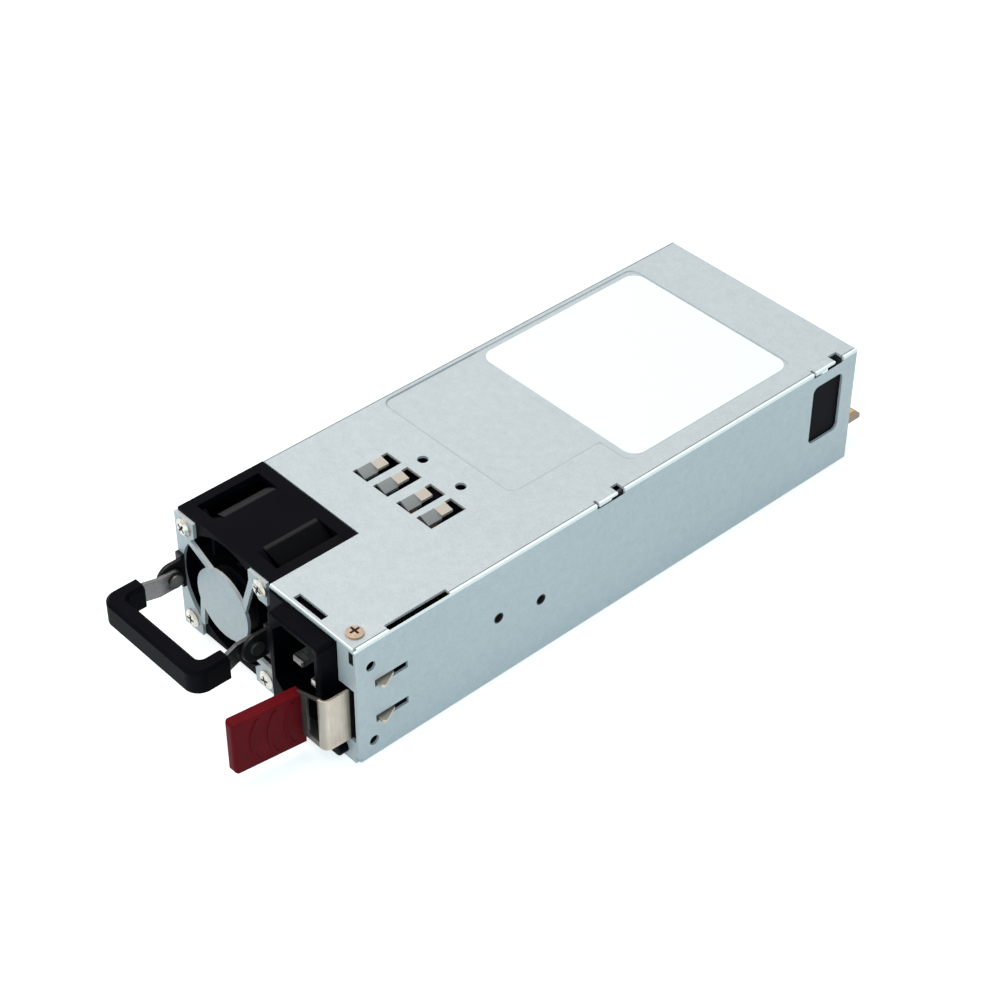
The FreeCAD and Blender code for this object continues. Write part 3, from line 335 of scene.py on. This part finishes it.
def dark_steel():
    s = Surface("dark_coated_steel")
    grain = s.noise(0.5)
    colour = s.grade(grain, [(0.35, tone(0.006, 0.006, 0.007)), (0.7, tone(0.018, 0.018, 0.020))])
    return s.finish(Base_Color=colour, Roughness=0.34 + 0.14 * grain, Specular_IOR_Level=0.22,
                    Normal=s.bump(grain, 0.12))


def black_moulding(name, shade, rough, grain_size=0.35, strength=0.14):
    """Black plastic. On the fan's round waist the left flank has a painted highlight, and the right flank has a flat
    painted shade and a bright glossy coat along its edge.
    """
    s = Surface(name)
    grain = s.noise(grain_size, rough=0.6)
    cloud = s.noise(9, detail=2.0)
    mix = grain * 0.55 + cloud * 0.45
    colour = s.grade(mix, [(0.32, tone(shade * 0.6, shade * 0.6, shade * 1.1)),
                           (0.7, tone(shade * 1.5, shade * 1.5, shade * 2.8))])
    across, along, up = s.axes()
    waist = along.between(-85.0, -67.8, 0.3) * up.over(34, 0.5)
    left_flank_highlight = across.over(-31.0, 1.2) * across.under(-25.3, 0.5)
    right_edge = across.between(-8.6, -7.7, 0.25)
    # Flat painted shade over the fan waist's right flank.
    colour = s.blend(across.over(-7.9, 0.3) * waist, colour, tone(0.0035, 0.0035, 0.0045))
    # Painted highlight on the fan waist's left flank.
    colour = s.blend(left_flank_highlight * waist, colour, tone(0.036, 0.036, 0.038))
    return s.finish(Base_Color=colour, Roughness=rough + 0.14 * mix, Specular_IOR_Level=0.03,
                    Coat_Weight=0.6 * waist * right_edge, Coat_Roughness=0.3, Normal=s.bump(grain, strength))


def red_moulding():
    s = Surface("burgundy_moulding")
    grain = s.noise(0.4)
    cloud = s.noise(6, detail=2.0)
    colour = s.grade(grain * 0.4 + cloud * 0.6,
                     [(0.3, tone(0.112, 0.0025, 0.006)), (0.7, tone(0.155, 0.004, 0.009))])
    return s.finish(Base_Color=colour, Roughness=0.42 + 0.14 * grain, Specular_IOR_Level=0.06,
                    Normal=s.bump(grain, 0.14))


def label_film():
    s = Surface("blank_label_film")
    fibre = s.noise(0.5)
    colour = s.grade(fibre, [(0.3, grey(0.97)), (0.7, grey(1.0))])
    return s.finish(Base_Color=colour, Roughness=0.5 + 0.1 * fibre, Normal=s.bump(fibre, 0.05, 0.02 * mm))


def plain(name, colour, rough, spread, size, **more):
    """One colour that varies by the spread from grain to grain."""
    s = Surface(name)
    grain = s.noise(size)
    low = tone(*[c * (1 - spread) for c in colour])
    high = tone(*[min(1.0, c * (1 + spread)) for c in colour])
    return s.finish(Base_Color=s.grade(grain, [(0.35, low), (0.65, high)]), Roughness=rough + 0.12 * grain,
                    Normal=s.bump(grain, 0.12), **more)


def plain_metal(name, colour, rough):
    return plain(name, colour, rough, 0.12, 0.8, Metallic=1.0)


def plain_coat(name, colour, rough):
    return plain(name, colour, rough, 0.15, 0.9)


def board_laminate():
    """Dark green board, bare and tan past the rear panel."""
    s = Surface("board_laminate")
    grain = s.noise(0.9)
    resist = s.grade(grain, [(0.35, tone(0.005, 0.022, 0.010)), (0.65, tone(0.007, 0.030, 0.014))])
    bare = s.grade(grain, [(0.35, tone(0.40, 0.255, 0.165)), (0.65, tone(0.48, 0.31, 0.20))])
    colour = s.blend(s.axes()[1].over(board_bare_from, 0.1), resist, bare)
    return s.finish(Base_Color=colour, Roughness=0.35 + 0.12 * grain, Normal=s.bump(grain, 0.12))


finishes = {
    "galvanised": galvanised(),
    "tan_steel": tan_steel(),
    "screw_steel": screw_steel(),
    "dark_steel": dark_steel(),
    "black_plastic": black_moulding("black_moulding", 0.0024, 0.42),
    "gloss_black": black_moulding("sheen_black_moulding", 0.0022, 0.34, 0.5, 0.08),
    "red_plastic": red_moulding(),
    "white_paper": label_film(),
    "gold": plain_metal("gold_flash", (0.72, 0.52, 0.26), 0.22),
    "board_green": board_laminate(),
    "aluminium": plain_metal("extruded_aluminium", (0.68, 0.69, 0.70), 0.36),
    "copper_wire": plain_metal("enamelled_copper", (0.48, 0.20, 0.09), 0.34),
    "ferrite": plain_coat("dark_ferrite", (0.03, 0.03, 0.032), 0.55),
    "can_sleeve": plain_coat("dark_sleeve", (0.02, 0.022, 0.045), 0.3),
    "yellow_case": plain_coat("yellow_case", (0.62, 0.46, 0.06), 0.4),
    "steel": plain_metal("plain_steel", (0.19, 0.192, 0.197), 0.26),
}


# Pieces
def clear_choice():
    for thing in bpy.data.objects:
        thing.select_set(False)


def choose(piece):
    clear_choice()
    piece.select_set(True)
    bpy.context.view_layer.objects.active = piece


def edit(piece, action):
    """Opens a piece for editing by its edges, with all or none of them selected."""
    choose(piece)
    bpy.ops.object.mode_set(mode="EDIT")
    bpy.ops.mesh.select_mode(type="EDGE")
    bpy.ops.mesh.select_all(action=action)


def leave():
    bpy.ops.object.mode_set(mode="OBJECT")


def apply_bevel(piece, width, steps, limit):
    choose(piece)
    tool = piece.modifiers.new("soft_edges", "BEVEL")
    tool.width = width * mm
    tool.segments = steps
    tool.limit_method = "ANGLE"
    tool.angle_limit = math.radians(limit)
    tool.use_clamp_overlap = False
    tool.miter_outer = "MITER_ARC"
    bpy.ops.object.modifier_apply(modifier=tool.name)


def paint(piece, slot):
    piece.data.materials.clear()
    piece.data.materials.append(finishes[slot])
    for polygon in piece.data.polygons:
        polygon.material_index = 0


def settle(piece, name):
    piece.name = name
    choose(piece)
    bpy.ops.object.transform_apply(location=True, rotation=True, scale=True)
    return piece


def block(name, x0, x1, y0, y1, z0, z1):
    """A block between the given planes, in millimetres."""
    clear_choice()
    middle = Vector(((x0 + x1) / 2, (y0 + y1) / 2, (z0 + z1) / 2)) * mm
    sides = ((x1 - x0) * mm, (y1 - y0) * mm, (z1 - z0) * mm)
    bpy.ops.mesh.primitive_cube_add(size=1.0, location=middle, scale=sides)
    return settle(bpy.context.object, name)


def drum(name, x, y0, y1, z, radius, sides):
    """A drum along Y between the given planes, in millimetres."""
    clear_choice()
    middle = Vector((x, (y0 + y1) / 2, z)) * mm
    bpy.ops.mesh.primitive_cylinder_add(vertices=sides, radius=radius * mm, depth=(y1 - y0) * mm,
                                        location=middle, rotation=(math.pi / 2, 0, 0))
    return settle(bpy.context.object, name)


def carve(piece, cutter):
    choose(piece)
    tool = piece.modifiers.new("carve", "BOOLEAN")
    tool.operation = "DIFFERENCE"
    tool.solver = "EXACT"
    tool.object = cutter
    bpy.ops.object.modifier_apply(modifier=tool.name)
    bpy.data.objects.remove(cutter)


def corner_rail(x0, x1, z0, z1):
    """A rail along a corner of the fan, chamfered on the edge that looks towards the fan's axis."""
    rail = block("rail", x0, x1, rail_front, rail_rear, z0, z1)
    corners = rail.data.vertices

    def from_axis(edge):
        return sum(abs(corners[v].co.x - fan_x * mm) + abs(corners[v].co.z - fan_z * mm) for v in edge.vertices)

    edit(rail, "DESELECT")
    leave()
    min(rail.data.edges, key=from_axis).select = True
    bpy.ops.object.mode_set(mode="EDIT")
    bpy.ops.mesh.bevel(offset=rail_chamfer * mm, segments=2, affect="EDGES")
    leave()
    return rail


def open_pockets(frame_copy):
    """Pockets beside the fan's round waist, closed off by a rail along each corner and a wall on each side."""
    pocket = block("pocket", -37.0, 4.0, waist_front, waist_rear, -0.5, 40.5)
    carve(pocket, drum("waist", fan_x, -86, -67, fan_z, waist_radius, 96))
    carve(frame_copy, pocket)
    added = [corner_rail(x0, x1, z0, z1) for x0, x1 in rail_across for z0, z1 in rail_up]
    for x0, x1 in side_across:
        added.append(block("side", x0, x1, rail_front, rail_rear, 3.0, 37.0))
    clear_choice()
    for piece in added:
        piece.select_set(True)
    frame_copy.select_set(True)
    bpy.context.view_layer.objects.active = frame_copy
    bpy.ops.object.join()


def even_light(piece):
    tool = piece.modifiers.new("even_light", "WEIGHTED_NORMAL")
    tool.mode = "FACE_AREA"
    tool.weight = 100
    tool.keep_sharp = True
    bpy.ops.object.modifier_apply(modifier=tool.name)


def assign(piece, node_name):
    """Gives a piece the finish, body and slot of a node."""
    paint(piece, slot_of_node[node_name])
    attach(piece, body_of_node[node_name])


def soften(name, width):
    """A copy of a node with merged corners and, where a width is given, its sharp edges rounded a little."""
    piece = nodes[name].copy()
    piece.data = nodes[name].data.copy()
    piece.name = name + "_soft"
    piece.parent = None
    for key in list(piece.keys()):
        del piece[key]
    bpy.context.scene.collection.objects.link(piece)
    edit(piece, "SELECT")
    bpy.ops.mesh.customdata_custom_splitnormals_clear()
    bpy.ops.mesh.remove_doubles(threshold=0.000001)
    leave()
    if name == "fan_frame":
        open_pockets(piece)
    if width > 0:
        edit(piece, "SELECT")
        bpy.ops.mesh.tris_convert_to_quads(face_threshold=math.radians(1), shape_threshold=math.radians(180))
        leave()
        apply_bevel(piece, width, 2, 32)
    for corner in piece.data.vertices:
        corner.co.z = max(corner.co.z, 0.0)
    choose(piece)
    bpy.ops.object.shade_smooth_by_angle(angle=math.radians(35))
    even_light(piece)
    assign(piece, name)
    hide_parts(name)


def finish_piece(piece, width, node_name):
    """Rounds the edges of a new piece and gives it the finish, body and slot of a node."""
    apply_bevel(piece, width, 3, 40)
    choose(piece)
    bpy.ops.object.shade_smooth_by_angle(angle=math.radians(40))
    assign(piece, node_name)


def light_bezel():
    """Status light in an oval bezel that reaches out past the latch."""
    piece = drum("light_bezel", light_x, light_front, light_rear, light_z, light_radius, 32)
    for vertex in piece.data.vertices:
        if vertex.co.x > (light_x + 0.05) * mm:
            vertex.co.x += light_stretch * mm
    finish_piece(piece, 0.3, "status_light")
    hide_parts("status_light")


def tongue_ends():
    """The ends of the cover's tongues, which lie over the right wall."""
    for name, y0, y1 in tongues:
        finish_piece(block(name, *tongue_across, y0, y1, *tongue_up), 0.12, "top_cover")


# Edge rounds in millimetres
edge_rounds = {
    "base_chassis": 0.0, "top_cover": 0.0, "front_panel": 0.0, "rear_panel": 0.1,
    "fan_frame": 0.22, "fan_impeller": 0.12, "inlet_housing": 0.22, "inlet_blades": 0.12,
    "inlet_earth_blade": 0.12, "handle_strap": 0.14, "handle_grip": 0.0, "handle_ears": 0.16,
    "handle_pivots": 0.0, "latch_root": 0.1, "latch_rivets": 0.1, "latch_leaf": 0.12,
    "release_tab": 0.2, "fan_screws": 0.0, "cover_screw": 0.0,
    "main_board": 0.08, "contact_fingers": 0.0,
}
for name, node in nodes.items():
    paint(node, slot_of_node[name])
for name, width in edge_rounds.items():
    soften(name, width)
light_bezel()
tongue_ends()


# Floor, light and camera
def studio_floor():
    """White to the camera and in mirrors, with the shadow of the part on it."""
    clear_choice()
    bpy.ops.mesh.primitive_plane_add(size=6.0, location=(0, 0, -0.1 * mm))
    floor = bpy.context.object
    floor.name = "studio_floor"
    s = Surface("studio_white")
    diffuse = s.node("ShaderNodeBsdfDiffuse", {}, {"Color": tone(0.64, 0.70, 0.715)})
    glow = s.node("ShaderNodeEmission", {}, {"Color": grey(1.0), "Strength": s.seen() * 0.70})
    s.end("ShaderNodeOutputMaterial", s.node("ShaderNodeAddShader", {}, {0: diffuse, 1: glow}))
    floor.data.materials.append(s.material)


def studio_world():
    """White to the camera and in mirrors, and as light cooler and weaker."""
    world = bpy.data.worlds.new("studio_world")
    bpy.context.scene.world = world
    world.use_nodes = True
    tree = Tree(world.node_tree)
    seen = tree.seen()
    spot = tree.node("ShaderNodeTexCoord", outlet="Generated")
    height = tree.node("ShaderNodeSeparateXYZ", {}, {"Vector": spot}, outlet="Z")
    strength = tree.node("ShaderNodeMapRange", {}, {"Value": height, "To Min": 0.66, "To Max": 0.69})
    strength = tree.node("ShaderNodeMapRange", {}, {"Value": seen, "To Min": strength, "To Max": 1.0})
    colour = tree.blend(seen, tone(0.72, 0.95, 1.0), grey(1.0))
    tree.end("ShaderNodeOutputWorld", tree.node("ShaderNodeBackground", {}, {"Color": colour, "Strength": strength}))


def lamp(name, place, aim, size, watts, colour):
    data = bpy.data.lights.new(name, "AREA")
    data.shape = "RECTANGLE"
    data.size, data.size_y = size
    data.energy = watts
    data.color = colour
    thing = bpy.data.objects.new(name, data)
    bpy.context.scene.collection.objects.link(thing)
    thing.location = place
    thing.rotation_euler = (Vector(aim) - Vector(place)).to_track_quat("-Z", "Y").to_euler()


def studio_camera():
    data = bpy.data.cameras.new("studio_camera")
    data.sensor_width = 36.0
    data.lens = 86.27
    data.clip_start = 0.01
    camera = bpy.data.objects.new("studio_camera", data)
    bpy.context.scene.collection.objects.link(camera)
    right = Vector((0.67473, 0.73805, 0.00452))
    down = Vector((0.47604, -0.43050, -0.76685))
    ahead = Vector((-0.56403, 0.51957, -0.64181))
    turn = Matrix((right, -down, -ahead)).transposed()
    camera.matrix_world = Matrix.Translation((0.37127, -0.35288, 0.44190)) @ turn.to_4x4()
    bpy.context.scene.camera = camera


studio_floor()
studio_world()
studio_camera()
lamp("key_light", (-0.36, -0.18, 1.13), (0, 0, 0.02), (0.6, 0.6), 7.2, (1.0, 0.80, 0.68))
lamp("front_light", (0.35, -0.9, 0.6), (0, -0.05, 0.02), (0.5, 0.4), 1.6, (0.80, 0.98, 1.0))
bpy.context.scene.view_settings.view_transform = "Standard"
